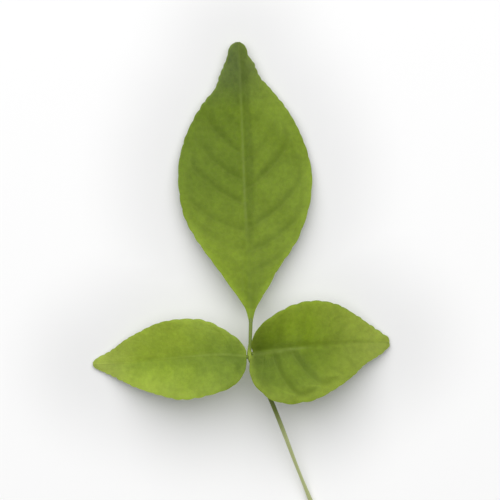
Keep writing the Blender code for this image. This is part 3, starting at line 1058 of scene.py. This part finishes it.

# %% Give each leaflet its greens
# The shade green and the green near the midrib's base are painted shade. The laterals' darker base
# greens and the darker middle green of the terminal's left half are partly painted shade.
TERMINAL_GREENS = {
    "left": ("#758a23", "#647a1e", "#5d6e36"), "right": ("#6f8423", "#6d8321", "#5e6e36"),
    "base_fades": (0.25, 0.5), "tip_grows": (0.76, 0.9), "base_shade": "#566a18",
    "mottle": "#7a9127", "vein": "#7f8f3e", "margin": "#819537",
    "midrib": "#78893f", "rim": "#8ba232", "shade": "#445611",
    "under": "#8fa35c", "under_mottle": "#9aad68", "under_vein": "#b9c48c",
}
LEFT_GREENS = {
    "left": ("#5f7720", "#8aa132", "#929b4e"), "right": ("#627a22", "#91a734", "#959e50"),
    "base_fades": (0.0, 0.45), "tip_grows": (0.7, 1.0), "base_shade": "#5c741c",
    "mottle": "#9db13b", "vein": "#90a244", "margin": "#97a948",
    "midrib": "#8d9f49", "rim": "#a0b347", "shade": "#697e2d",
    "under": "#a0b269", "under_mottle": "#aaba74", "under_vein": "#c4cd98",
}
RIGHT_GREENS = {
    "left": ("#61771a", "#7a9120", "#8f9f42"), "right": ("#5c711b", "#677d1d", "#88973d"),
    "base_fades": (0.0, 0.25), "tip_grows": (0.42, 0.86), "base_shade": "#485b10",
    "mottle": "#829927", "vein": "#7f9239", "margin": "#889c3d",
    "midrib": "#7f9140", "rim": "#a2b444", "shade": "#495b10",
    "under": "#98ab62", "under_mottle": "#a3b46e", "under_vein": "#bfca93",
}
terminal_blade.data.materials.append(blade_finish("living blade, full grown", TERMINAL_GREENS))
left_blade.data.materials.append(blade_finish("living blade, youngest", LEFT_GREENS))
right_blade.data.materials.append(blade_finish("living blade, half grown", RIGHT_GREENS))
print("finishes:", [m.name for m in bpy.data.materials if m.name.startswith("living")])

# %% [markdown]
# ## The stalk's finish
#
# The petiole is smooth and herbaceous, with fine streaks along it from the strands inside. It is a
# pale green towards the twig and a darker green near the leaflets, partly as painted shade where
# the leaflets shade it, and has a spot of yellow-green at the leaf joint. Its channel is painted
# darker, as painted shade in the groove. The streaks are a noise that is drawn out lengthwise. The
# pith in the cut is nearly white.

# %% Make the finishes of the stalk and the pads
STREAK_WIDTH = 0.25
STREAK_STRETCH = 0.12
SKIN_BUMP = (0.4, 0.05)
PAD_GRAIN = 0.3
STALK_FOOT = "#b6bd88"
STALK_LAYERS = (
    # Partly painted shade: the stalk is a darker green under the leaflets.
    ("along", 0.4, 0.55, 1.0, "#667232"),
    ("along", 0.8, 0.83, 1.0, "#8ca02c"),
    ("along", 0.85, 0.89, 1.0, "#67792a"),
    ("streaks", 0.35, 0.7, 0.2, "#97a55e"),
    # Painted shade: the channel is darker.
    ("channel", 0.2, 1, 0.25, "#5d6c30"),
    ("pith", 0, 1, 1.0, "#d8dbbb"),
)


def stalk_finish():
    finish, tree, skin = new_finish("leaf stalk, herbaceous")
    stretch = {"Vector": place_in(tree), "Scale": (1.0, STREAK_STRETCH, 1.0)}
    drawn = add(tree, "ShaderNodeMapping", stretch).outputs[0]
    shows = marks_in(tree, "along", "pith", "channel")
    shows["streaks"] = noise_in(tree, drawn, STREAK_WIDTH, 3.0)
    set_inputs(skin, {
        "Base Color": layered(tree, STALK_FOOT, shows, STALK_LAYERS),
        "Normal": bump_of(tree, shows["streaks"], *SKIN_BUMP),
        "Roughness": 0.46,
        "Specular IOR Level": 0.22,
    })
    return finish


def pad_finish():
    finish, tree, skin = new_finish("leaflet pad, corky green")
    grain = noise_in(tree, place_in(tree), PAD_GRAIN, 3.0)
    set_inputs(skin, {
        "Base Color": mix(tree, ramp(tree, grain, 0.35, 0.7), "#61742a", "#728336"),
        "Normal": bump_of(tree, grain, *SKIN_BUMP),
        "Roughness": 0.6,
    })
    return finish


stalk.data.materials.append(stalk_finish())
pad_skin = pad_finish()
for pad in pads:
    pad.data.materials.append(pad_skin)
print("finishes:", stalk.data.materials[0].name, "and", pad_skin.name)

# %% [markdown]
# ## The pieces take their places in the frame
#
# Each blade replaces its plain solid, the stalk replaces the petiole's, and the pads are added.
# The leaf has no joints, so all of them ride on the one body.

# %% Ride and replace
for piece, node, slot in (
    (terminal_blade, "terminal_leaflet", "leaf_blade"),
    (left_blade, "left_leaflet", "leaf_blade"),
    (right_blade, "right_leaflet", "leaf_blade"),
    (stalk, "petiole", "leaf_stalk"),
):
    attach(piece, "root")
    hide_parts(node)
    low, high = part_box(node)
    places = coordinates_of(piece.data)
    off = np.concatenate([places.min(axis=0) - low, places.max(axis=0) - high]) / MM
    print(piece.name, "against its solid, low and high in mm:", off.round(2))
for pad in pads:
    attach(pad, "root")

# %% [markdown]
# ## Table, light and camera
#
# The leaf was photographed from straight above on white paper, with one large soft light beyond
# its tip and a little to the left, and light from all around. The camera looks straight down
# through a long lens, so the raised leaflets keep their size. The paper is painted a touch greyer
# around the leaf as painted shade, so each point of it stores how far it is from the blades. Its
# border is pulled far out, so that it also fills the picture behind the leaf when it is seen from
# a low place.

# %% Lay the paper
PAPER_SIZE = 1.6
PAPER_CELLS = 400
PAPER_REACH = 6.0
PAPER_BORDER = 0.499
HALO_START = 1.0
HALO_WIDTH = 26.0
HALO_SAMPLE = 40


def out_of_painted_shade_at(places):
    """From 0 close to the blades, where the paper is painted grey as shade, to 1 where it is clean
    white, seen from above.
    """
    near = np.concatenate([
        coordinates_of(blade.data)[::HALO_SAMPLE]
        for blade in (terminal_blade, left_blade, right_blade)
    ])
    tree = kdtree.KDTree(len(near))
    for number, (x, y, _) in enumerate(near):
        tree.insert((x, y, 0), number)
    tree.balance()
    gaps = np.array([tree.find((x, y, 0))[2] for x, y, _ in places]) / MM
    t = np.clip((gaps - HALO_START) / HALO_WIDTH, 0, 1)
    return t * t * (3 - 2 * t)


def paper_finish():
    finish, tree, skin = new_finish("matt white paper with painted shade")
    # Painted shade: the paper is greyer close to the blades.
    grey = mix(tree, marks_in(tree, "out_of_painted_shade")["out_of_painted_shade"], "#e7e7e7", "#f7f7f7")
    set_inputs(skin, {"Base Color": grey, "Roughness": 0.95, "Specular IOR Level": 0.1})
    return finish


paper = grid_named("paper", PAPER_CELLS, PAPER_CELLS, PAPER_SIZE)
places = coordinates_of(paper.data)
set_mark(paper.data, "out_of_painted_shade", out_of_painted_shade_at(places))
border = np.abs(places[:, :2]) > PAPER_BORDER * PAPER_SIZE
places[:, :2][border] *= PAPER_REACH
put_coordinates(paper.data, places)
paper.data.materials.append(paper_finish())
print("the paper is", round(places[:, 0].max() * 2, 1), "m wide with its border")

# %% Set the camera and the light
PHOTO_WIDTH = 125.0
JOINT_BELOW_CENTRE = 26.5
LENS = 290.0
SENSOR = 36.0
CAMERA_CLIP_END = 20
LEAF_HALF_HEIGHT = 3.0
LIGHT_DISTANCE = 1.5
WINDOW_AZIMUTH = 95
WINDOW_ELEVATION = 61
WINDOW_SIZE = 3.0
WINDOW_POWER = 48.5
ROOM_LIGHT = 0.1
aim = Vector((LEAF_JOINT.x, LEAF_JOINT.y + JOINT_BELOW_CENTRE, LEAF_HALF_HEIGHT)) * MM

bpy.ops.object.camera_add(location=aim + Vector((0, 0, PHOTO_WIDTH * MM * LENS / SENSOR)))
camera = bpy.context.active_object
camera.data.lens = LENS
camera.data.sensor_width = SENSOR
camera.data.clip_end = CAMERA_CLIP_END
bpy.context.scene.camera = camera

turn, lift = math.radians(WINDOW_AZIMUTH), math.radians(WINDOW_ELEVATION)
level = math.cos(lift)
way = Vector((level * math.cos(turn), level * math.sin(turn), math.sin(lift)))
bpy.ops.object.light_add(type="AREA", location=aim + way * LIGHT_DISTANCE)
window = bpy.context.active_object
window.name = "window"
window.rotation_euler = way.to_track_quat("Z", "Y").to_euler()
window.data.shape = "DISK"
window.data.size = WINDOW_SIZE
window.data.energy = WINDOW_POWER

world = bpy.data.worlds.new("white room")
bpy.context.scene.world = world
world.use_nodes = True
set_inputs(world.node_tree.nodes["Background"], {"Color": "#ffffff", "Strength": ROOM_LIGHT})
bpy.context.scene.view_settings.view_transform = "Standard"
print("the camera is", round(camera.location.z, 3), "m above the table")
